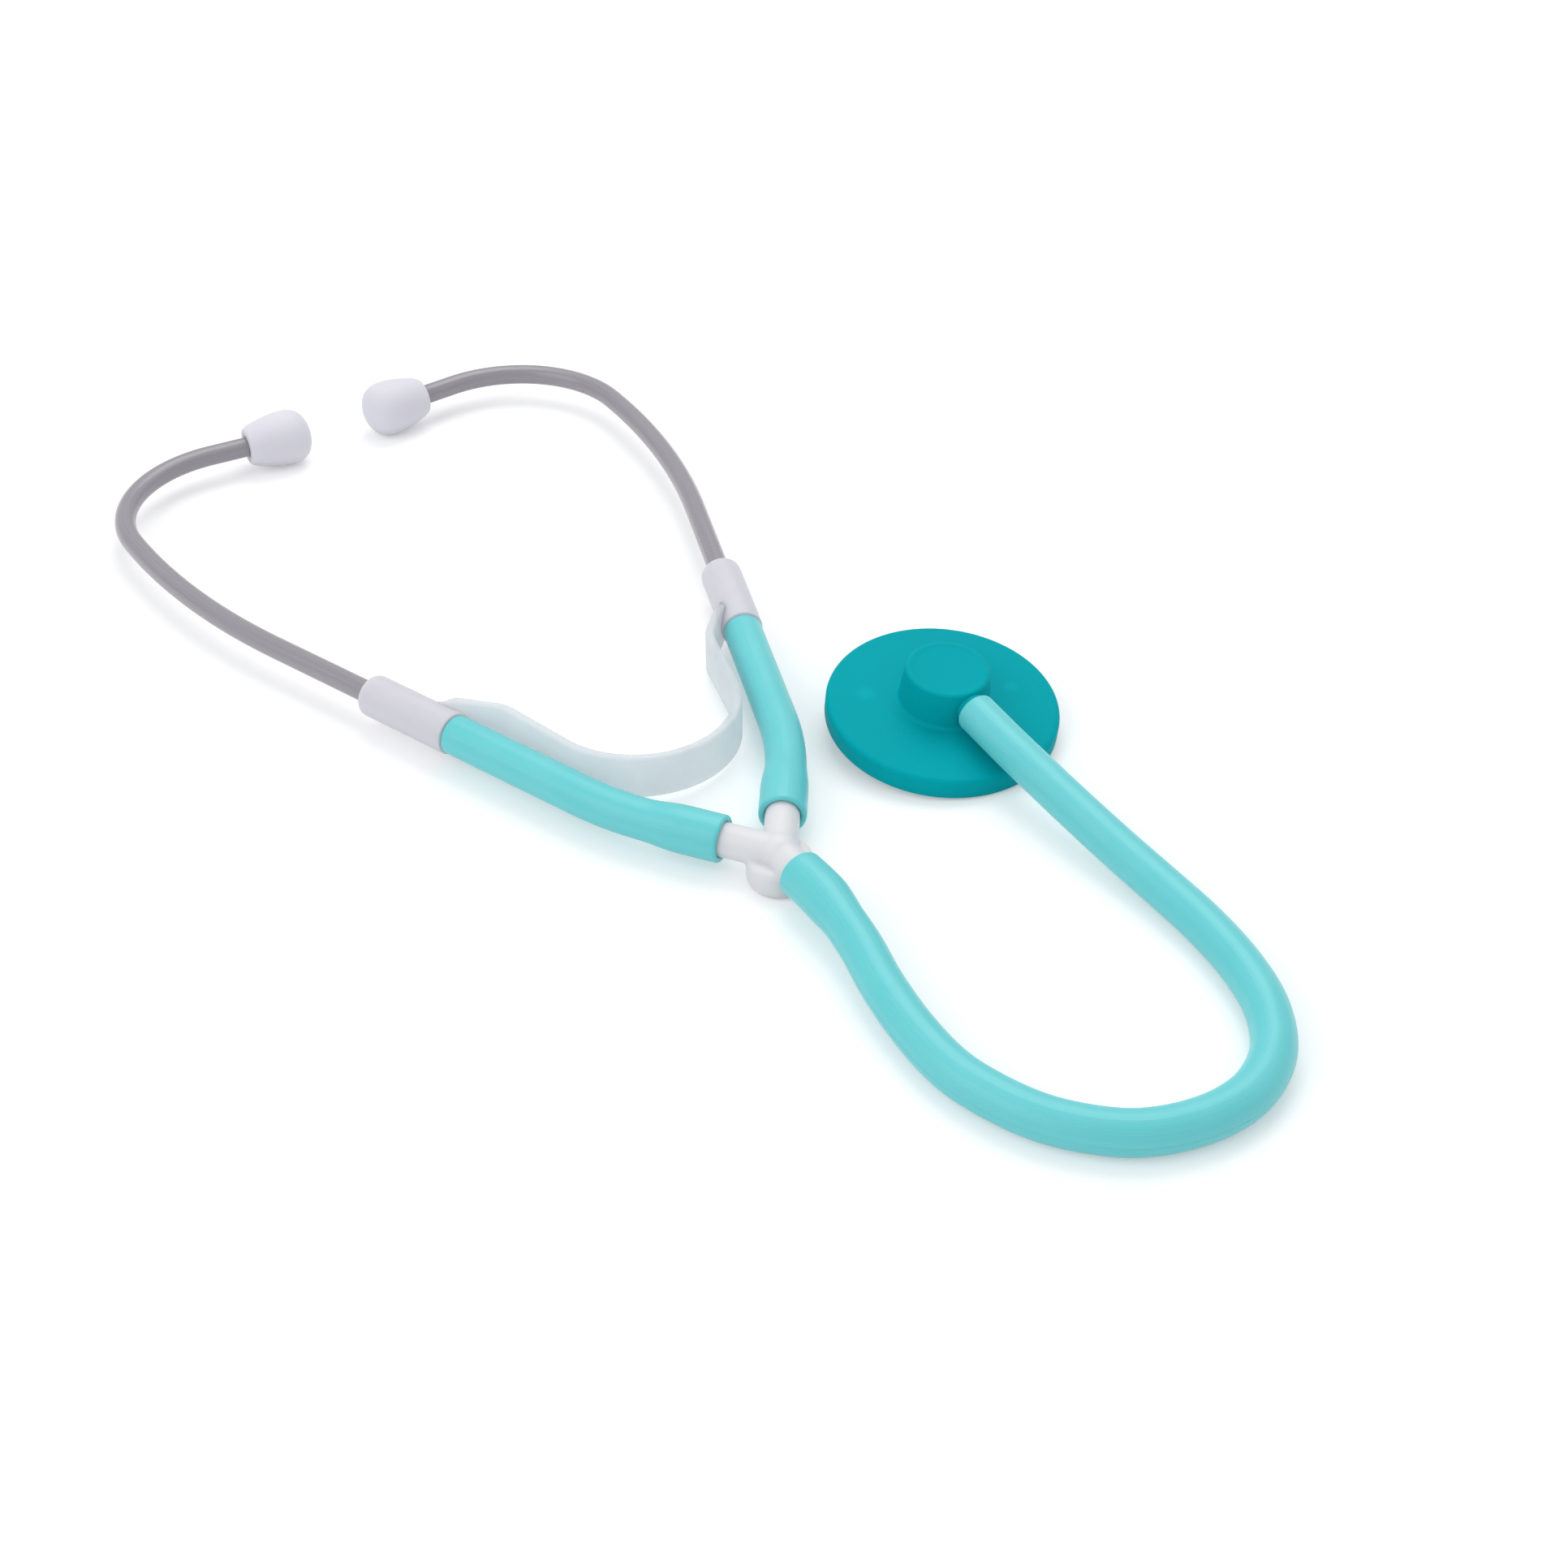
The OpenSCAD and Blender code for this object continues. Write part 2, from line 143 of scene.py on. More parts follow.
# Points on the right half of the headset
HUB = Vector((0, 0))
TUBE_END = ahead(HUB, Y_ANGLE, ARM_BARE)
SHORT_BEND = ahead(TUBE_END, Y_ANGLE, GRIP_LEN + FLARE_RUN)
SHORT_BEND_END = after_bend(SHORT_BEND, Y_ANGLE, SHORT_BEND_R, Y_ANGLE - ARM_ANGLE)
SOCKET_FOOT = ahead(SHORT_BEND_END, ARM_ANGLE, SHORT_STRAIGHT)
SOCKET_MOUTH = ahead(SOCKET_FOOT, ARM_ANGLE, SOCKET_LEN)
EAR_BEND = ahead(SOCKET_MOUTH, ARM_ANGLE, EAR_STRAIGHT)
EAR_BEND_MID = after_bend(EAR_BEND, ARM_ANGLE, LONG_BEND_R, ARM_ANGLE)
EAR_BEND_END = after_bend(EAR_BEND_MID, 0, TIGHT_BEND_R, TIGHT_TURN)
TIP_FOOT = ahead(EAR_BEND_END, -TIGHT_TURN, EAR_END)

CHEST_PLACE = (
    Matrix.Translation((CHEST_X, CHEST_Y, (DISC_R - HEEL_ROUND) * math.sin(math.radians(CHEST_TIP))))
    @ Matrix.Rotation(math.radians(CHEST_TIP), 4, "X")
)


def lay(point, heading):
    """Places a shape drawn along Z at a point of the headset's plane, lying along a heading."""
    return (
        Matrix.Translation((point[0], point[1], AXIS_Z))
        @ Matrix.Rotation(-math.radians(heading), 4, "Z")
        @ Matrix.Rotation(-math.pi / 2, 4, "X")
    )


def flat(points):
    """Points of the headset's plane, raised to its height."""
    return [Vector((p[0], p[1], AXIS_Z)) for p in points]


def smooth_path(points, step=1.0):
    """A smooth line through points, with a point about every step."""
    line = []
    for i in range(len(points) - 1):
        before = points[max(i - 1, 0)]
        start, end = points[i], points[i + 1]
        after = points[min(i + 2, len(points) - 1)]
        count = max(1, round((end - start).length / step))
        for k in range(count):
            t = k / count
            line.append(0.5 * (
                2 * start + (end - before) * t
                + (2 * before - 5 * start + 4 * end - after) * t ** 2
                + (3 * start - before - 3 * end + after) * t ** 3
            ))
    return line + [points[-1]]


def other_side(points):
    """The same points on the left half of the headset."""
    return [Vector((-p[0], p[1], p[2])) for p in points]


def line_length(points):
    """The length of a line through points."""
    return sum((b - a).length for a, b in zip(points, points[1:]))


class Wire:
    """One output of a node. Python's operators on it add Math nodes."""

    def __init__(self, nodes, socket):
        self.nodes = nodes
        self.socket = socket

    def out(self, name):
        """Another output of the same node."""
        return Wire(self.nodes, self.socket.node.outputs[name])

    def math(self, operation, first, second):
        return self.nodes.add("ShaderNodeMath", {"operation": operation}, {0: first, 1: second})

    def __add__(self, other):
        return self.math("ADD", self, other)

    def __sub__(self, other):
        return self.math("SUBTRACT", self, other)

    def __mul__(self, other):
        return self.math("MULTIPLY", self, other)

    def __rsub__(self, other):
        return self.math("SUBTRACT", other, self)

    __radd__ = __add__
    __rmul__ = __mul__


class Nodes:
    """A node tree of a material or a shape."""

    def __init__(self, tree):
        self.tree = tree

    def add(self, kind, settings=None, inputs=None, output=0):
        """Makes a node, with its settings first, then its sockets' values or links; returns one output."""
        made = self.tree.nodes.new(kind)
        for name, value in (settings or {}).items():
            setattr(made, name, value)
        for name, value in (inputs or {}).items():
            if isinstance(value, Wire):
                self.tree.links.new(value.socket, made.inputs[name])
            else:
                made.inputs[name].default_value = value
        return Wire(self, made.outputs[output] if len(made.outputs) else None)

    def noise(self, place, scale, detail=3.0, roughness=0.55):
        return self.add("ShaderNodeTexNoise", inputs={
            "Vector": place, "Scale": scale, "Detail": detail, "Roughness": roughness,
        })


def srgb(red, green, blue):
    """A colour from 0 to 255 values, as a linear colour."""
    def linear(c):
        c = c / 255
        return c / 12.92 if c <= 0.04045 else ((c + 0.055) / 1.055) ** 2.4
    return (linear(red), linear(green), linear(blue), 1.0)


def material_nodes(name):
    """A new material with an empty tree, and its surface place."""
    material = bpy.data.materials.new(name)
    material.use_nodes = True
    material.node_tree.nodes.clear()
    nodes = Nodes(material.node_tree)
    return material, nodes, nodes.add("ShaderNodeTexCoord", output="Object")


def blended(nodes, factor, first, second):
    """A colour between two, each a colour or a link."""
    return nodes.add("ShaderNodeMix", {"data_type": "RGBA"}, {0: factor, 6: first, 7: second}, output=2)


def spot_mask(nodes, place, centre, inner, outer):
    """One inside a round spot on the surface, falling to zero at its outer radius; millimetres."""
    offset = nodes.add(
        "ShaderNodeVectorMath", {"operation": "DISTANCE"}, {0: place, 1: Vector(centre) * MM}, output="Value",
    )
    return nodes.add("ShaderNodeMapRange", {"interpolation_type": "SMOOTHSTEP"}, {
        "Value": offset, "From Min": inner * MM, "From Max": outer * MM, "To Min": 1.0, "To Max": 0.0,
    })


def finish_surface(nodes, colour, roughness, height, depth, **more):
    """The shader itself; height bumps the surface by up to depth metres."""
    normal = nodes.add("ShaderNodeBump", inputs={"Height": height, "Strength": 0.35, "Distance": depth})
    inputs = {"Base Color": colour, "Roughness": roughness, "Normal": normal}
    inputs.update({name.replace("_", " "): value for name, value in more.items()})
    surface = nodes.add("ShaderNodeBsdfPrincipled", inputs=inputs)
    nodes.add("ShaderNodeOutputMaterial", inputs={"Surface": surface})


def draw_lines(nodes, across, onwards, roughness):
    """Noise drawn out along a tube, read from the attributes that its mesh carries."""
    along = nodes.add("ShaderNodeAttribute", {"attribute_name": "along"}, output="Fac")
    turn = nodes.add("ShaderNodeAttribute", {"attribute_name": "around"}, output="Fac") * (2 * math.pi)
    place = nodes.add("ShaderNodeCombineXYZ", inputs={
        "X": turn.math("COSINE", turn, 0.0) * across,
        "Y": turn.math("SINE", turn, 0.0) * across,
        "Z": along * onwards,
    })
    return nodes.noise(place, 1.0, detail=4.0, roughness=roughness)


def tubing_material():
    """Soft extruded tubing: faint draw lines along it, a satin skin and slow waves."""
    material, nodes, place = material_nodes("soft_tubing")
    lines = draw_lines(nodes, across=9.0, onwards=26.0, roughness=0.65)
    cloud = nodes.noise(place, 55.0)
    fine = nodes.noise(place, 1400.0, detail=2.0)
    colour = blended(nodes, cloud * 0.9 + lines * 0.5 - 0.2, srgb(91, 206, 210), srgb(119, 217, 221))
    gloss = 0.36 + (cloud - 0.5) * 0.2 + (lines - 0.5) * 0.18
    finish_surface(
        nodes, colour, gloss, lines * 0.8 + fine * 0.2 + cloud * 0.6, depth=0.0003,
        Subsurface_Weight=0.2, Subsurface_Radius=(0.5, 1.0, 1.0), Subsurface_Scale=0.002,
        Specular_IOR_Level=0.45, Coat_Weight=0.12, Coat_Roughness=0.2,
    )
    return material


def chest_material():
    """Hard plastic with a fine spark finish, soft wide blotches and two paler round spots."""
    material, nodes, place = material_nodes("chest_plastic")
    spark = nodes.noise(place, 3200.0, detail=2.0, roughness=0.7)
    cloud = nodes.noise(place, 45.0)
    base = blended(nodes, cloud * 0.9 + spark * 0.3 - 0.1, srgb(0, 160, 170), srgb(0, 172, 182))
    # Two paler round spots beside the hub
    large, small = (CHEST_PLACE @ Vector((x, y, HUB_Z - MARK_SINK)) for x, y in (LARGE_MARK, SMALL_MARK))
    large = spot_mask(nodes, place, large, inner=0.6, outer=2.6)
    small = spot_mask(nodes, place, small, inner=0.4, outer=2.2)
    colour = blended(nodes, (large + small) * 0.4, base, srgb(20, 184, 194))
    gloss = 0.5 + (cloud - 0.5) * 0.16 + (spark - 0.5) * 0.12
    finish_surface(nodes, colour, gloss, spark * 0.5 + cloud * 0.6, depth=0.00035, Specular_IOR_Level=0.03)
    return material


def ear_tube_material():
    """Grey plastic tube with a satin skin and faint draw lines."""
    material, nodes, place = material_nodes("ear_tube_plastic")
    lines = draw_lines(nodes, across=5.0, onwards=34.0, roughness=0.7)
    fine = nodes.noise(place, 1800.0, detail=2.0)
    colour = blended(nodes, lines * 1.2 - 0.1, srgb(139, 134, 142), srgb(161, 156, 163))
    gloss = 0.3 + (lines - 0.5) * 0.24 + (fine - 0.5) * 0.08
    finish_surface(
        nodes, colour, gloss, lines * 0.7 + fine * 0.25, depth=0.0002, Specular_IOR_Level=0.55,
        Coat_Weight=0.35, Coat_Roughness=0.18,
    )
    return material


def frosted(name, colour, shade, roughness, glow, depth, reach, grain=1500.0, thin=None, clear=0.0):
    """Milky plastic or rubber that light soaks into. Where it is thin, its colour turns paler, which is
    painted light shining through the thin plastic, and the light behind shows through it by the share that is
    clear."""
    material, nodes, place = material_nodes(name)
    solid = 1.0
    cloud = nodes.noise(place, 80.0)
    fine = nodes.noise(place, grain, roughness=0.6)
    drawn = nodes.add("ShaderNodeMapping", inputs={"Vector": place, "Scale": (1, 1, 0.25)})
    flow = nodes.noise(drawn, 260.0, detail=2.0)
    tint = blended(nodes, cloud * 0.7 + flow * 0.4 - 0.05, colour, shade)
    if thin:
        part = nodes.add("ShaderNodeAttribute", {"attribute_name": "thin"}, output="Fac")
        # The paler colour of the thin parts is painted light shining through them
        tint = blended(nodes, part.math("MINIMUM", part, 1.0), tint, thin)
        solid = part.math("MAXIMUM", 1.0 - part * clear * (0.85 + 0.3 * cloud), 0.0)
    gloss = roughness + (cloud - 0.5) * 0.16 + (fine - 0.5) * 0.12
    finish_surface(
        nodes, tint, gloss, fine * 0.4 + flow * 0.5, depth, Subsurface_Weight=glow,
        Subsurface_Radius=(0.9, 1.0, 1.1), Subsurface_Scale=reach, Specular_IOR_Level=0.4, Alpha=solid,
    )
    return material


def make_materials():
    """Every finish by its name."""
    return {
        "tubing": tubing_material(),
        "chest": chest_material(),
        "ear_tube": ear_tube_material(),
        # The strap's paler bluish thin colour is painted light shining through the thin strap
        "yoke": frosted(
            "yoke_plastic", srgb(209, 207, 215), srgb(218, 216, 223), roughness=0.46, glow=0.5,
            depth=0.0003, reach=0.004, thin=srgb(222, 228, 233), clear=0.52,
        ),
        "tip": frosted(
            "ear_tip_rubber", srgb(221, 219, 227), srgb(228, 226, 234), roughness=0.58, glow=0.4,
            depth=0.0003, reach=0.003, grain=2200.0,
        ),
        "connector": frosted(
            "connector_plastic", srgb(224, 223, 226), srgb(231, 230, 233), roughness=0.42, glow=0.5,
            depth=0.0003, reach=0.004,
        ),
        "film": frosted(
            "diaphragm_film", srgb(230, 234, 237), srgb(238, 241, 243), roughness=0.2, glow=0.2,
            depth=0.0002, reach=0.001, grain=700.0,
        ),
    }


def tube_tree():
    """Geometry Nodes: the outer and inner wall of a tube along a curve, wider where it starts."""
    tree = bpy.data.node_groups.new("tube_along_path", "GeometryNodeTree")
    nodes = Nodes(tree)
    new_socket = tree.interface.new_socket
    new_socket("Geometry", in_out="OUTPUT", socket_type="NodeSocketGeometry")
    new_socket("Path", in_out="INPUT", socket_type="NodeSocketGeometry")
    for name in ("Radius", "Bore", "Start Radius", "Start Bore", "Start Length", "Taper"):
        new_socket(name, in_out="INPUT", socket_type="NodeSocketFloat")
    new_socket("Material", in_out="INPUT", socket_type="NodeSocketMaterial")
    given = nodes.add("NodeGroupInput")
    radius, bore = given.out("Radius"), given.out("Bore")
    start_radius, start_bore = given.out("Start Radius"), given.out("Start Bore")
    path_length = nodes.add("GeometryNodeCurveLength", inputs={0: given.out("Path")})
    path = nodes.add("GeometryNodeTrimCurve", {"mode": "LENGTH"}, {
        "Curve": given.out("Path"),
        4: 0.5 * (start_radius - start_bore),
        5: path_length - 0.5 * (radius - bore),
    })
    place = nodes.add("GeometryNodeSplineParameter")
    along = place.out("Length")
    ring = nodes.add("GeometryNodeCurvePrimitiveCircle", inputs={"Resolution": RING_POINTS, "Radius": 1.0})
    store = {"data_type": "FLOAT", "domain": "POINT"}
    path = nodes.add("GeometryNodeStoreNamedAttribute", store, {
        "Geometry": path, "Name": "along", "Value": along,
    })
    ring = nodes.add("GeometryNodeStoreNamedAttribute", store, {
        "Geometry": ring, "Name": "around", "Value": place.out("Factor"),
    })

    def wall(start, rest):
        size = nodes.add("ShaderNodeMapRange", {"interpolation_type": "SMOOTHSTEP"}, {
            "Value": along, "From Min": given.out("Start Length"),
            "From Max": given.out("Start Length") + given.out("Taper"), "To Min": start, "To Max": rest,
        })
        sized = nodes.add("GeometryNodeSetCurveRadius", inputs={"Curve": path, "Radius": size})
        skin = nodes.add("GeometryNodeCurveToMesh", inputs={"Curve": sized, "Profile Curve": ring})
        # Where the node has a Scale input, the wall follows that and not the curve's radius
        if "Scale" in skin.socket.node.inputs:
            tree.links.new(size.socket, skin.socket.node.inputs["Scale"])
        return skin

    parts = (
        wall(start_radius, radius),
        nodes.add("GeometryNodeFlipFaces", inputs={0: wall(start_bore, bore)}),
    )
    both = nodes.add("GeometryNodeJoinGeometry")
    for part in reversed(parts):
        tree.links.new(part.socket, both.socket.node.inputs[0])
    real = nodes.add("GeometryNodeRealizeInstances", inputs={0: both})
    smooth = nodes.add("GeometryNodeSetShadeSmooth", inputs={"Geometry": real})
    finish = nodes.add("GeometryNodeSetMaterial", inputs={
        "Geometry": smooth, "Material": given.out("Material"),
    })
    nodes.add("NodeGroupOutput", inputs={0: finish})
    return tree


def new_piece(name, mesh, material=None):
    """An object at the origin whose place is in its mesh."""
    piece = bpy.data.objects.new(name, mesh)
    bpy.context.scene.collection.objects.link(piece)
    if material:
        mesh.materials.clear()
        mesh.materials.append(material)
    return piece


def finished(piece):
    """The piece with its modifiers applied, as a new object of the same name."""
    name = piece.name
    bpy.context.view_layer.update()
    mesh = bpy.data.meshes.new_from_object(piece.evaluated_get(bpy.context.evaluated_depsgraph_get()))
    old = piece.data
    bpy.data.objects.remove(piece)
    (bpy.data.curves if isinstance(old, bpy.types.Curve) else bpy.data.meshes).remove(old)
    mesh.name = name
    return new_piece(name, mesh)


def line_object(name, points):
    """A curve object through points given in millimetres."""
    curve = bpy.data.curves.new(name, "CURVE")
    curve.dimensions = "3D"
    spline = curve.splines.new("POLY")
    spline.points.add(len(points) - 1)
    for spot, point in zip(spline.points, points):
        spot.co = (*(point * MM), 1.0)
    return new_piece(name, curve)


def open_rings(shape):
    """The open edges of a mesh, as rings of points in order."""
    waiting = dict.fromkeys(v for e in shape.edges if e.is_boundary for v in e.verts)
    rings = []
    while waiting:
        ring = [next(iter(waiting))]
        while ring[-1] in waiting:
            del waiting[ring[-1]]
            beside = [e.other_vert(ring[-1]) for e in ring[-1].link_edges if e.is_boundary]
            ring += [v for v in beside if v in waiting][:1]
        rings.append(ring)
    return rings


def close_ends(piece):
    """Joins a tube's outer and inner wall at both ends with a round lip, so that it is one closed mesh."""
    shape = bmesh.new()
    shape.from_mesh(piece.data)

    def middle(ring):
        return sum((v.co for v in ring), Vector()) / len(ring)

    def width(ring):
        return (ring[0].co - middle(ring)).length

    def same_end(ring, other):
        return (middle(ring) - middle(other)).length < TUBE_R * MM

    rings = sorted(open_rings(shape), key=width, reverse=True)
    while rings:
        outer = rings.pop(0)
        inner = next(ring for ring in rings if same_end(ring, outer))
        rings.remove(inner)
        behind = [e.other_vert(v) for v in outer for e in v.link_edges if not e.is_boundary]
        outwards = (middle(outer) - middle(behind)).normalized()
        partner = [min(inner, key=lambda v: (v.co - o.co).length) for o in outer]
        rows = [outer]
        for i in range(1, LIP_STEPS):
            turn = math.pi * i / LIP_STEPS
            row = []
            for far, close in zip(outer, partner):
                half = (far.co - close.co) / 2
                place = close.co + half + half * math.cos(turn) + outwards * half.length * math.sin(turn)
                # The new point takes the attributes of the outer wall's point
                row.append(shape.verts.new(place, far))
            rows.append(row)
        rows.append(partner)
        finish = outer[0].link_faces[0].material_index
        for first, second in zip(rows, rows[1:]):
            for k in range(len(first)):
                n = (k + 1) % len(first)
                shape.faces.new((first[k], first[n], second[n], second[k])).material_index = finish
    bmesh.ops.recalc_face_normals(shape, faces=shape.faces)
    shape.to_mesh(piece.data)
    shape.free()
    piece.data.shade_smooth()
    return piece


def tube(name, points, tree, material, radius, bore, start_radius=None, start_bore=None):
    """A tube along points: its walls come from the node tree, and lips close its ends."""
    piece = line_object(name, points)
    modifier = piece.modifiers.new("tube", "NODES")
    modifier.node_group = tree
    values = {
        "Radius": radius * MM,
        "Bore": bore * MM,
        "Start Radius": (start_radius or radius) * MM,
        "Start Bore": (start_bore or bore) * MM,
        "Start Length": (GRIP_LEN - FLARE_EARLY) * MM,
        "Taper": FLARE_RUN * MM * FLARE_STRETCH,
        "Material": material,
    }
    for item in tree.interface.items_tree:
        if item.in_out == "INPUT" and item.name in values:
            modifier[item.identifier] = values[item.name]
    return close_ends(finished(piece))


def lathe(name, outline, place, material, segments=96):
    """A solid turned from an outline of (radius, height) points in millimetres, which starts and ends on the
    axis."""
    shape = bmesh.new()
    turns = [2 * math.pi * k / segments for k in range(segments)]
    rows = []
    for radius, height in outline:
        if radius == 0:
            rows.append([shape.verts.new((0, 0, height))])
            continue
        rows.append([shape.verts.new((radius * math.cos(a), radius * math.sin(a), height)) for a in turns])
    for low, high in zip(rows, rows[1:]):
        for k in range(segments):
            n = (k + 1) % segments
            corners = [low[k % len(low)], low[n % len(low)], high[n % len(high)], high[k % len(high)]]
            shape.faces.new(list(dict.fromkeys(corners)))
    bmesh.ops.recalc_face_normals(shape, faces=shape.faces)
    return from_bmesh(name, shape, place, material)


def from_bmesh(name, shape, place, material):
    """A piece from a shape in millimetres, put in its place."""
    bmesh.ops.transform(shape, matrix=Matrix.Scale(MM, 4) @ place, verts=shape.verts)
    if place.determinant() < 0:
        bmesh.ops.reverse_faces(shape, faces=shape.faces)
    mesh = bpy.data.meshes.new(name)
    shape.to_mesh(mesh)
    shape.free()
    mesh.shade_smooth()
    return new_piece(name, mesh, material)


def joined(name, parts):
    """One piece from several."""
    shape = bmesh.new()
    for part in parts:
        shape.from_mesh(part.data)
    material = parts[0].data.materials[0] if parts[0].data.materials else None
    for part in parts:
        old = part.data
        bpy.data.objects.remove(part)
        bpy.data.meshes.remove(old)
    mesh = bpy.data.meshes.new(name)
    shape.to_mesh(mesh)
    shape.free()
    mesh.shade_smooth()
    return new_piece(name, mesh, material)


def fused(name, parts, voxel, rounds, material):
    """Several solids as one moulding, with soft fillets where they meet."""
    piece = joined(name, parts)
    remesh = piece.modifiers.new("fuse", "REMESH")
    remesh.mode = "VOXEL"
    remesh.voxel_size = voxel * MM
    remesh.use_smooth_shade = True
    soften = piece.modifiers.new("soften", "SMOOTH")
    soften.factor = 0.5
    soften.iterations = rounds
    piece = finished(piece)
    piece.data.shade_smooth()
    piece.data.materials.clear()
    piece.data.materials.append(material)
    return piece


def arc(centre, radius, start, end, count=8):
    """Points of an arc in an outline, from one angle to another in degrees."""
    angles = [math.radians(start + (end - start) * i / count) for i in range(count + 1)]
    return [(centre[0] + radius * math.cos(a), centre[1] + radius * math.sin(a)) for a in angles]


MIRROR = Matrix.Scale(-1, 4, (1, 0, 0))


def sides():
    """Both halves of the headset: a name and the matrix that puts a right-hand shape there."""
    return (("left", MIRROR), ("right", Matrix.Identity(4)))


def camera():
    """The photograph's camera."""
    away = Vector((math.sin(CAMERA_HEADING), math.cos(CAMERA_HEADING), 0))
    back = -away * math.cos(CAMERA_ELEVATION) + Vector((0, 0, math.sin(CAMERA_ELEVATION)))
    data = bpy.data.cameras.new("camera")
    data.sensor_width = 36
    data.lens = CAMERA_LENS
    data.clip_start = 0.01
    made = bpy.data.objects.new("camera", data)
    bpy.context.scene.collection.objects.link(made)
    made.location = CAMERA_TARGET + back * CAMERA_DISTANCE
    made.rotation_euler = (-back).to_track_quat("-Z", "Y").to_euler()
    bpy.context.scene.camera = made


def main_route():
    """The main tube's middle, from the Y connector to the chest piece's stem."""
    start = [Vector((0, -FOOT_R - STEM_REACH - d, AXIS_Z)) for d in (0, GRIP_LEN)]
    stem = [CHEST_PLACE @ Vector((0, -STEM_OUT - SLIP - d, STEM_Z)) for d in (PLUG_LEN + PLUG_LEAD, 0)]
    return smooth_path(start + [Vector(p) for p in LIE] + stem)


def short_route():
    """The right short tube's middle, from the Y connector to the socket."""
    bend = bend_points(SHORT_BEND, Y_ANGLE, SHORT_BEND_R, Y_ANGLE - ARM_ANGLE, SHORT_STEPS)
    start = [ahead(TUBE_END, Y_ANGLE, d) for d in range(0, int(GRIP_LEN + FLARE_RUN) + 1)]
    end = [ahead(SHORT_BEND_END, ARM_ANGLE, d) for d in range(2, int(SHORT_STRAIGHT) + 1, 2)]
    return flat(start + bend + end)


def ear_route():
    """The right ear tube's middle, from inside the socket to inside the tip."""
    points = [ahead(SOCKET_MOUTH, ARM_ANGLE, d) for d in (EAR_TUBE_GAP - SOCKET_DEPTH, 0)] + [EAR_BEND]
    points += bend_points(EAR_BEND, ARM_ANGLE, LONG_BEND_R, ARM_ANGLE, LONG_STEPS)
    points += bend_points(EAR_BEND_MID, 0, TIGHT_BEND_R, TIGHT_TURN, TIGHT_STEPS)
    points += [TIP_FOOT, ahead(TIP_FOOT, -TIGHT_TURN, TIP_DEPTH - EAR_TUBE_GAP)]
    return flat(points)


def tubes(materials):
    """The main tube, both short tubes and both ear tubes."""
    tree = tube_tree()
    route = main_route()
    main = tube("main_tube_skin", route, tree, materials["tubing"], TUBE_R, BORE_R, FLARE_R, GRIP_R)
    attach(main, "frame")
    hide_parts("main_tube")
    path = [tuple(p * MM) for p in route]
    line_length(route) * MM
    for side, _ in sides():
        turned = other_side if side == "left" else list
        short = turned(short_route())
        piece = tube(f"{side}_tube_skin", short, tree, materials["tubing"], TUBE_R, BORE_R, FLARE_R, GRIP_R)
        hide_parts(f"{side}_tube")
        tuple(short[BEND_FROM] * MM)
        tuple(short[BEND_TO] * MM)
        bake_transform(piece)
        bent = turned(ear_route())
        ear = tube(f"{side}_ear_tube_skin", bent, tree, materials["ear_tube"], EAR_R, EAR_BORE_R)
        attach(ear, f"{side}_ear")
        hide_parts(f"{side}_ear_tube")


def ear_tips(materials):
    """Both ear tips: soft bulbs with a hole for the ear tube."""
    inside = EAR_R + FIT
    outline = [(0, TIP_DEPTH), (inside, TIP_DEPTH), (inside, TIP_MOUTH_H), (inside + TIP_MOUTH_W, 0)]
    outline += arc((TIP_BASE_R - TIP_EDGE, TIP_EDGE), TIP_EDGE, -90, -20, 6)
    for i in range(2, TIP_STEPS + 1):
        swell = math.sin(math.pi / 2 * i / TIP_STEPS)
        outline.append((TIP_BASE_R + (TIP_R - TIP_BASE_R) * swell, TIP_WIDE_AT * i / TIP_STEPS))
    for i in range(1, TIP_STEPS + 1):
        a = math.pi / 2 * i / (TIP_STEPS + 1)
        rise = (TIP_LEN - TIP_WIDE_AT) * math.sin(a) ** TIP_FULLNESS
        outline.append((TIP_R * math.cos(a) ** TIP_FULLNESS, TIP_WIDE_AT + rise))
    outline.append((0, TIP_LEN))
    for side, half in sides():
        tip = lathe(f"{side}_ear_tip_skin", outline, half @ lay(TIP_FOOT, -TIGHT_TURN), materials["tip"])
        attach(tip, f"{side}_tip")
        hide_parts(f"{side}_ear_tip")


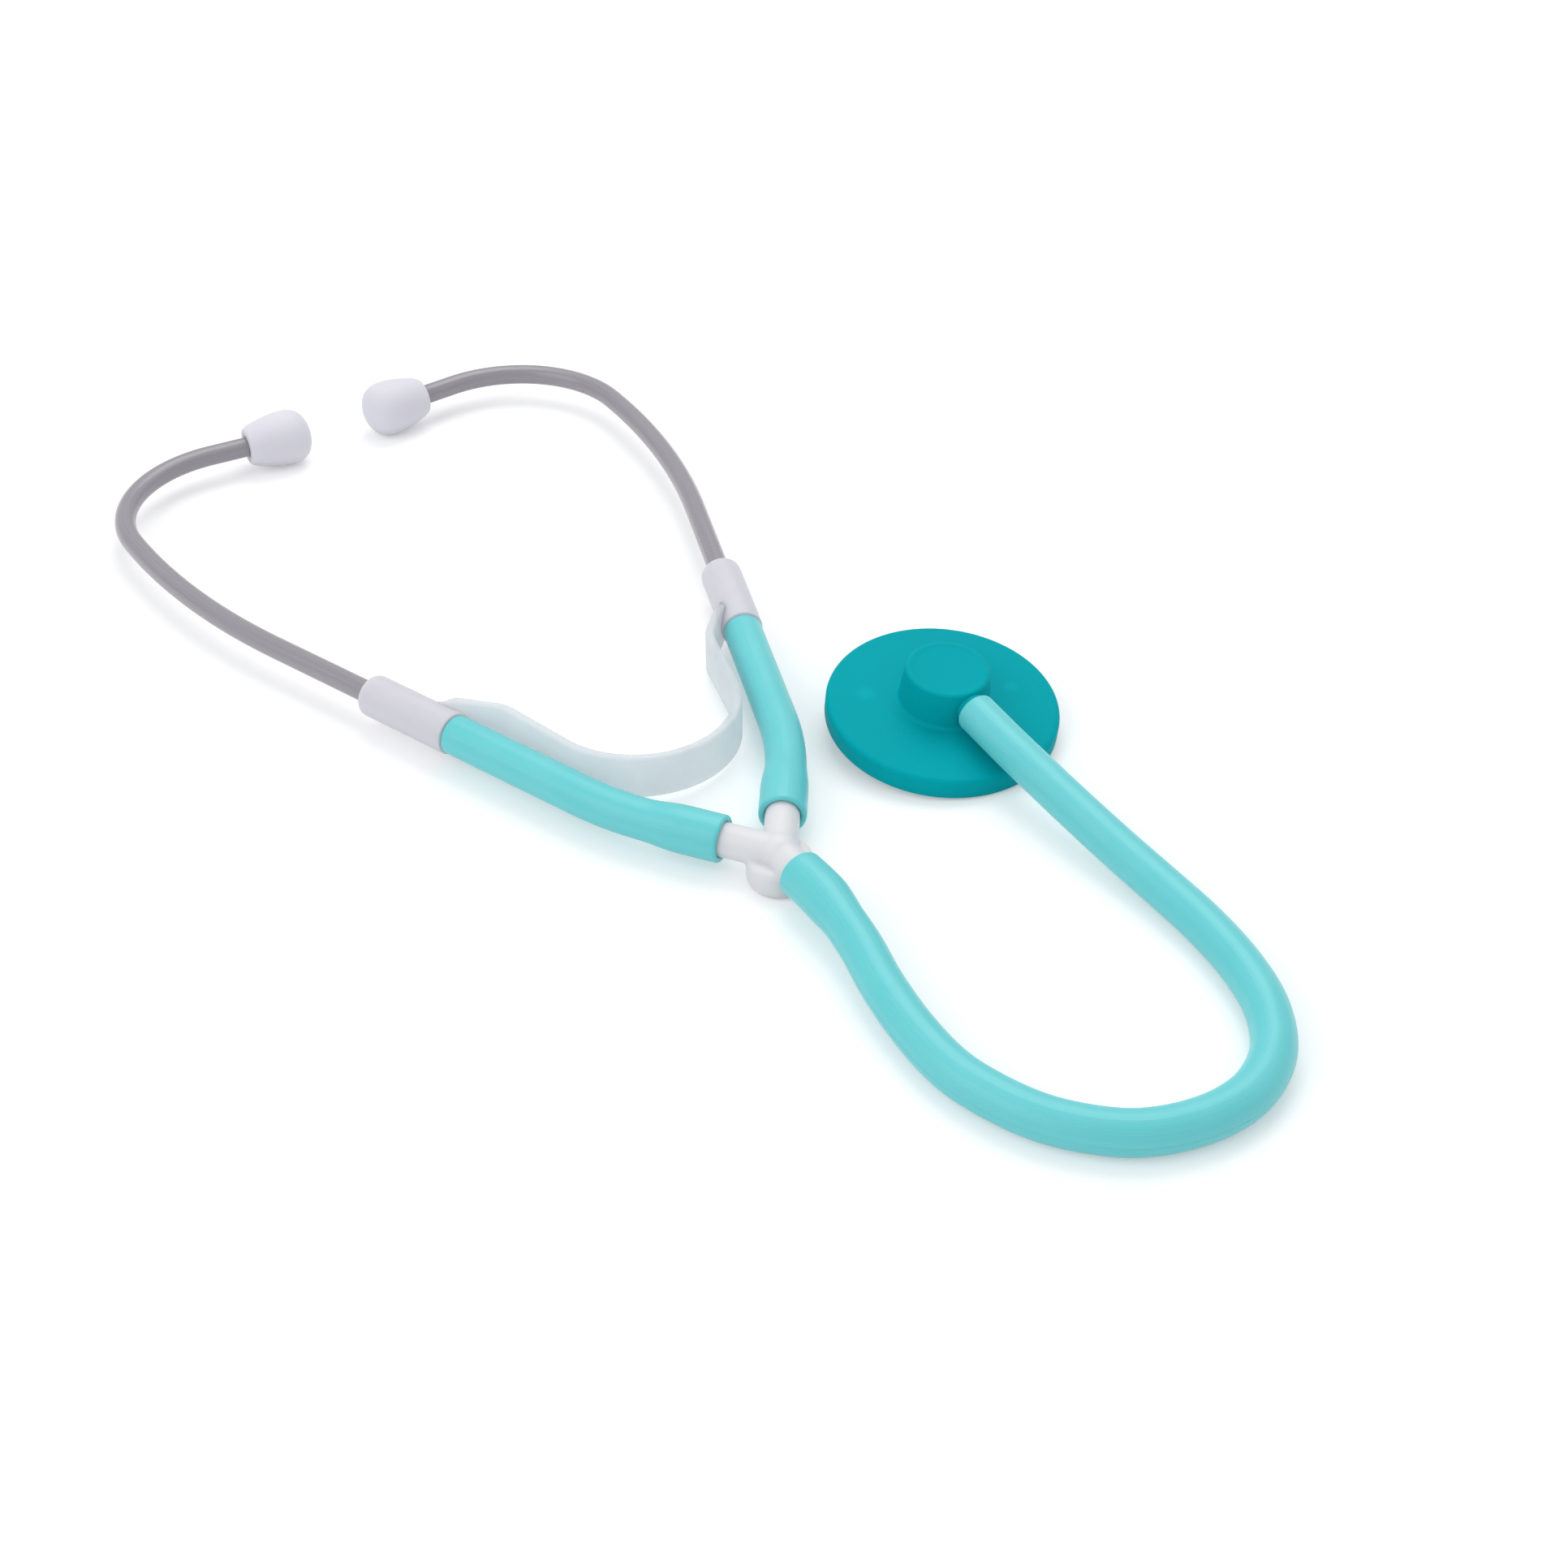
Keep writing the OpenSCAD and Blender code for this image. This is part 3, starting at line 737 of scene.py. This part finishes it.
def strap_route():
    """The strap's right half in the headset's plane: the round bottom from just past its middle, the leg, the
    knee and the tab. Also the knee."""
    def facing(degrees):
        turn = math.radians(degrees)
        return Vector((math.cos(turn), -math.sin(turn))), Vector((math.sin(turn), math.cos(turn)))

    socket_across, socket_up = facing(ARM_ANGLE)
    tab = math.radians(TAB_TURN)
    drop = (STRAP_OFFSET - TUBE_R - STRAP_GAP - STRAP_T / 2 / math.cos(tab)) / math.tan(tab)
    knee = SOCKET_FOOT - STRAP_OFFSET * socket_across - drop * socket_up
    across, up = facing(ARM_ANGLE - STRAP_LEAN)
    middle = (STRAP_BOTTOM + knee.dot(across)) / (1 - up[0])
    radius = middle - STRAP_BOTTOM
    points = []
    for i in range(-BOTTOM_PAST, BOTTOM_STEPS + 1):
        turn = math.radians(90 - ARM_ANGLE + STRAP_LEAN) * i / BOTTOM_STEPS
        points.append(Vector((radius * math.sin(turn), middle - radius * math.cos(turn))))
    knee_turn = math.radians(TAB_TURN + STRAP_LEAN)
    low = knee - KNEE_BEND * math.tan(knee_turn / 2) * up
    points += [points[-1].lerp(low, k / LEG_STEPS) for k in range(1, LEG_STEPS)]
    for i in range(KNEE_STEPS + 1):
        turn = knee_turn * i / KNEE_STEPS
        points.append(low + KNEE_BEND * (math.sin(turn) * up + (1 - math.cos(turn)) * across))
    tab_way = math.sin(tab) * socket_across + math.cos(tab) * socket_up
    end = knee + (STRAP_OFFSET - TAB_END) / math.sin(tab) * tab_way
    points += [points[-1].lerp(end, k / TAB_STEPS) for k in range(1, TAB_STEPS + 1)]
    return points, knee


def rounded_box(width, height, corner, count=4):
    """Points round a rectangle with rounded corners, about its middle."""
    x, y = width / 2 - corner, height / 2 - corner
    points = []
    for cx, cy, start in ((x, y, 0), (-x, y, 90), (-x, -y, 180), (x, -y, 270)):
        points += arc((cx, cy), corner, start, start + 90, count)
    return points


def ribbon(name, route, section, narrow, run):
    """A closed bar along a route in the headset's plane, whose height narrows by a share over a last run."""
    shape = bmesh.new()
    rows = []
    for i, point in enumerate(route):
        late = max(0.0, 1 - (point - route[-1]).length / run)
        high = 1 - narrow * late * late * (3 - 2 * late)
        heading = route[min(i + 1, len(route) - 1)] - route[max(i - 1, 0)]
        sideways = Vector((heading[1], -heading[0])).normalized()
        rows.append([
            shape.verts.new((point[0] + sideways[0] * u, point[1] + sideways[1] * u, AXIS_Z + v * high))
            for u, v in section
        ])
    for first, second in zip(rows, rows[1:]):
        for k in range(len(first)):
            n = (k + 1) % len(first)
            shape.faces.new((first[k], first[n], second[n], second[k]))
    shape.faces.new(rows[0])
    shape.faces.new(rows[-1])
    bmesh.ops.recalc_face_normals(shape, faces=shape.faces)
    return from_bmesh(name, shape, Matrix.Identity(4), None)


def yoke(materials):
    """The two halves of the yoke, each a socket with half of the strap. The strap is cut at its middle and
    closed there by a clear face."""
    inside = EAR_R + FIT
    hole = SOCKET_LEN - SOCKET_DEPTH
    plug_r = BORE_R - FIT
    outline = [(0, hole), (inside, hole)]
    outline += arc((inside + SOCKET_LIP, SOCKET_LEN - SOCKET_LIP), SOCKET_LIP, 180, 90, 4)
    outline += arc((SOCKET_R - SOCKET_ROUND, SOCKET_LEN - SOCKET_ROUND), SOCKET_ROUND, 90, 0, 10)
    outline += arc((SOCKET_R - SOCKET_EDGE, SOCKET_EDGE), SOCKET_EDGE, 0, -90, 4)
    outline += [(plug_r, 0), (plug_r, NOSE - PLUG_LEN), (plug_r - NOSE, -PLUG_LEN), (0, -PLUG_LEN)]
    route, knee = strap_route()
    socket = lathe("socket", outline, lay(SOCKET_FOOT, ARM_ANGLE), None)
    socket_points = len(socket.data.vertices)
    strap = ribbon("strap", route, rounded_box(STRAP_T, STRAP_H, STRAP_CORNER), TAB_NARROW, TAB_RUN)
    whole = joined("yoke", [socket, strap])
    for side, half in sides():
        shape = bmesh.new()
        shape.from_mesh(whole.data)
        thin = shape.verts.layers.float.new("thin")
        shape.verts.ensure_lookup_table()
        # The strap's points take the paler thin colour, painted light shining through the strap, and its
        # clearness
        for vert in shape.verts[socket_points:]:
            vert[thin] = 1.0
        bmesh.ops.bisect_plane(
            shape, geom=shape.verts[:] + shape.edges[:] + shape.faces[:], plane_co=(0, 0, 0),
            plane_no=(1, 0, 0), clear_inner=True,
        )
        bmesh.ops.dissolve_degenerate(shape, edges=shape.edges, dist=SLIVER)
        cut = [e for e in shape.edges if e.is_boundary]
        bmesh.ops.holes_fill(shape, edges=cut)
        bmesh.ops.recalc_face_normals(shape, faces=shape.faces)
        # The closing face gets points of its own, so that it alone is clear
        bmesh.ops.split_edges(shape, edges=cut)
        for face in shape.faces:
            if all(abs(vert.co.x) < SLIVER for vert in face.verts):
                for vert in face.verts:
                    vert[thin] = CUT_THIN
        bmesh.ops.transform(shape, matrix=half, verts=shape.verts)
        if half.determinant() < 0:
            bmesh.ops.reverse_faces(shape, faces=shape.faces)
        mesh = bpy.data.meshes.new(f"{side}_yoke_half")
        shape.to_mesh(mesh)
        shape.free()
        mesh.shade_smooth()
        piece = new_piece(f"{side}_yoke_half", mesh, materials["yoke"])
        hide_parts("spring_strap", f"{side}_socket")
        turn = -1 if side == "left" else 1
        turn * knee[0] * MM
        knee[1] * MM
        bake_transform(piece)
    bpy.data.objects.remove(whole)


def spigot_outline(length):
    """A straight rod with a chamfered far end."""
    return [(0, 0), (SPIGOT_R, 0), (SPIGOT_R, length - NOSE), (SPIGOT_R - NOSE, length), (0, length)]


def connector(materials):
    """The Y connector: three spigots, a round foot and a ball at the hub, fused."""
    spigots = (
        (Y_ANGLE, ARM_BARE + GRIP_LEN),
        (-Y_ANGLE, ARM_BARE + GRIP_LEN),
        (180, FOOT_R + STEM_REACH + GRIP_LEN),
    )
    foot_top = AXIS_Z - FOOT_DROP
    foot = [(0, 0), (FOOT_R - FOOT_ROUND, 0)]
    foot += arc((FOOT_R - FOOT_ROUND, FOOT_ROUND), FOOT_ROUND, -90, 0, 8)
    foot += arc((FOOT_R - FOOT_EDGE, foot_top - FOOT_EDGE), FOOT_EDGE, 0, 90, 5) + [(0, foot_top)]
    ball_r = SPIGOT_R + HUB_SWELL
    ball = [(0, -ball_r)] + arc((0, 0), ball_r, -80, 80, 20) + [(0, ball_r)]
    parts = [lathe("arm", spigot_outline(length), lay(HUB, heading), None) for heading, length in spigots]
    parts.append(lathe("foot", foot, Matrix.Identity(4), None))
    parts.append(lathe("ball", ball, Matrix.Translation((0, 0, AXIS_Z)), None))
    piece = fused("y_connector_skin", parts, CONNECTOR_VOXEL, CONNECTOR_ROUNDS, materials["connector"])
    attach(piece, "frame")
    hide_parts("y_connector")


def chest_piece(materials):
    """The chest piece: a disc with a hub, and its stem. The diaphragm and its ring stay as in the CAD."""
    top = HUB_Z + HUB_H
    outline = [(0, SEAT_Z), (RECESS_R, SEAT_Z), (RECESS_R, RECESS_EDGE), (RECESS_R + RECESS_EDGE, 0)]
    outline += arc((DISC_R - HEEL_ROUND, HEEL_ROUND), HEEL_ROUND, -90, 0, 8)
    outline += arc((DISC_R - DISC_ROUND, DISC_T - DISC_ROUND), DISC_ROUND, 0, 88, 12)
    for i in range(1, CROWN_STEPS):
        share = i / CROWN_STEPS
        inwards = (HUB_BASE_R + CROWN_SPAN - DISC_R) * share
        outline.append((DISC_R - CROWN_INSET + inwards, DISC_T + (CROWN - CROWN_SINK) * share))
    outline += arc((HUB_BASE_R + HUB_FILLET_AT, HUB_Z + HUB_FILLET_AT), HUB_FILLET, -88, -174, 8)
    outline.append((HUB_BASE_R - HUB_WAIST_IN, HUB_Z + HUB_WAIST_UP))
    outline += arc((HUB_TOP_R - HUB_EDGE, top - HUB_EDGE), HUB_EDGE, 6, 90, 8)
    outline += [(HUB_TOP_R - inset, top - drop) for inset, drop in DISH]
    outline.append((0, top - DISH_DEPTH))
    body = lathe("chest_body_skin", outline, CHEST_PLACE, materials["chest"], segments=160)
    along = CHEST_PLACE @ Matrix.Translation((0, 0, STEM_Z)) @ Matrix.Rotation(math.pi / 2, 4, "X")
    plug_r, plug_end = BORE_R - FIT, STEM_OUT + PLUG_LEN
    stem = [(0, STEM_FOOT), (SHOULDER_R, STEM_FOOT), (SHOULDER_R, STEM_OUT - STEM_STEP)]
    stem += [(SHOULDER_R - STEM_STEP, STEM_OUT), (plug_r, STEM_OUT), (plug_r, plug_end - NOSE)]
    stem += [(plug_r - NOSE, plug_end), (0, plug_end)]
    piece = joined("chest_body_skin", [body, lathe("stem", stem, along, materials["chest"])])
    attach(piece, "chest")
    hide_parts("chest_body")
    dress(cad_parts["diaphragm_ring"], materials["chest"])
    dress(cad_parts["diaphragm"], materials["film"])


def dress(node, material):
    """A CAD node keeps its shape and gets a finish."""
    for place in node.material_slots:
        place.material = material


def backdrop():
    """A white table that takes shadows. Its own light shows only to the camera, in reflections and through
    clear plastic, so that it looks white without lighting the object more."""
    mesh = bpy.data.meshes.new("table")
    corners = [(x * TABLE_HALF, y * TABLE_HALF, 0) for x, y in ((-1, -1), (1, -1), (1, 1), (-1, 1))]
    mesh.from_pydata(corners, [], [(0, 1, 2, 3)])
    material = bpy.data.materials.new("white_table")
    material.use_nodes = True
    nodes = Nodes(material.node_tree)
    material.node_tree.nodes.clear()
    matt = nodes.add("ShaderNodeBsdfDiffuse", inputs={"Color": (0.9, 0.9, 0.905, 1), "Roughness": 0.5})
    lift = nodes.add("ShaderNodeEmission", inputs={"Color": (1, 1, 1, 1), "Strength": 0.26})
    lifted = nodes.add("ShaderNodeAddShader", inputs={0: matt, 1: lift})
    ray = nodes.add("ShaderNodeLightPath", output="Is Camera Ray")
    seen = ray + ray.out("Is Glossy Ray") + ray.out("Is Transmission Ray")
    look = nodes.add("ShaderNodeMixShader", inputs={0: seen, 1: matt, 2: lifted})
    nodes.add("ShaderNodeOutputMaterial", inputs={"Surface": look})
    table = new_piece("table", mesh, material)
    table.location.z = -TABLE_DROP


def lights():
    """Soft light from all round, a key light behind the part and a fill light from the front left."""
    world = bpy.data.worlds.new("studio")
    bpy.context.scene.world = world
    world.use_nodes = True
    world.node_tree.nodes["Background"].inputs["Color"].default_value = (0.97, 0.985, 1.0, 1)
    world.node_tree.nodes["Background"].inputs["Strength"].default_value = 0.65
    right = Vector((math.cos(CAMERA_HEADING), -math.sin(CAMERA_HEADING), 0))
    away = Vector((math.sin(CAMERA_HEADING), math.cos(CAMERA_HEADING), 0))
    for name, spot, size, power in (
        ("key", right * 0.08 + away * 0.55 + Vector((0, 0, 1.0)), 0.9, 4.8),
        ("fill", -right * 0.8 - away * 0.5 + Vector((0, 0, 0.7)), 1.0, 3.2),
    ):
        data = bpy.data.lights.new(name, "AREA")
        data.shape = "DISK"
        data.size = size
        data.energy = power
        lamp = bpy.data.objects.new(name, data)
        bpy.context.scene.collection.objects.link(lamp)
        lamp.location = CAMERA_TARGET + spot
        lamp.rotation_euler = (-spot).to_track_quat("-Z", "Y").to_euler()


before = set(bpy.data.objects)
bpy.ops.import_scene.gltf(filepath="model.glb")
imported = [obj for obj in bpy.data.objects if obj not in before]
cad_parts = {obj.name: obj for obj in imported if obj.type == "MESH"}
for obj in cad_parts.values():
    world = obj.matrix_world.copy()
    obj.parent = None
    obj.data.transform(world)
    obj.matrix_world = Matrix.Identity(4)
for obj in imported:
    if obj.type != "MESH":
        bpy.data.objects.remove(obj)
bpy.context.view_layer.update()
bpy.context.scene.view_settings.view_transform = "Standard"
camera()
materials = make_materials()
tubes(materials)
ear_tips(materials)
yoke(materials)
connector(materials)
chest_piece(materials)
backdrop()
lights()
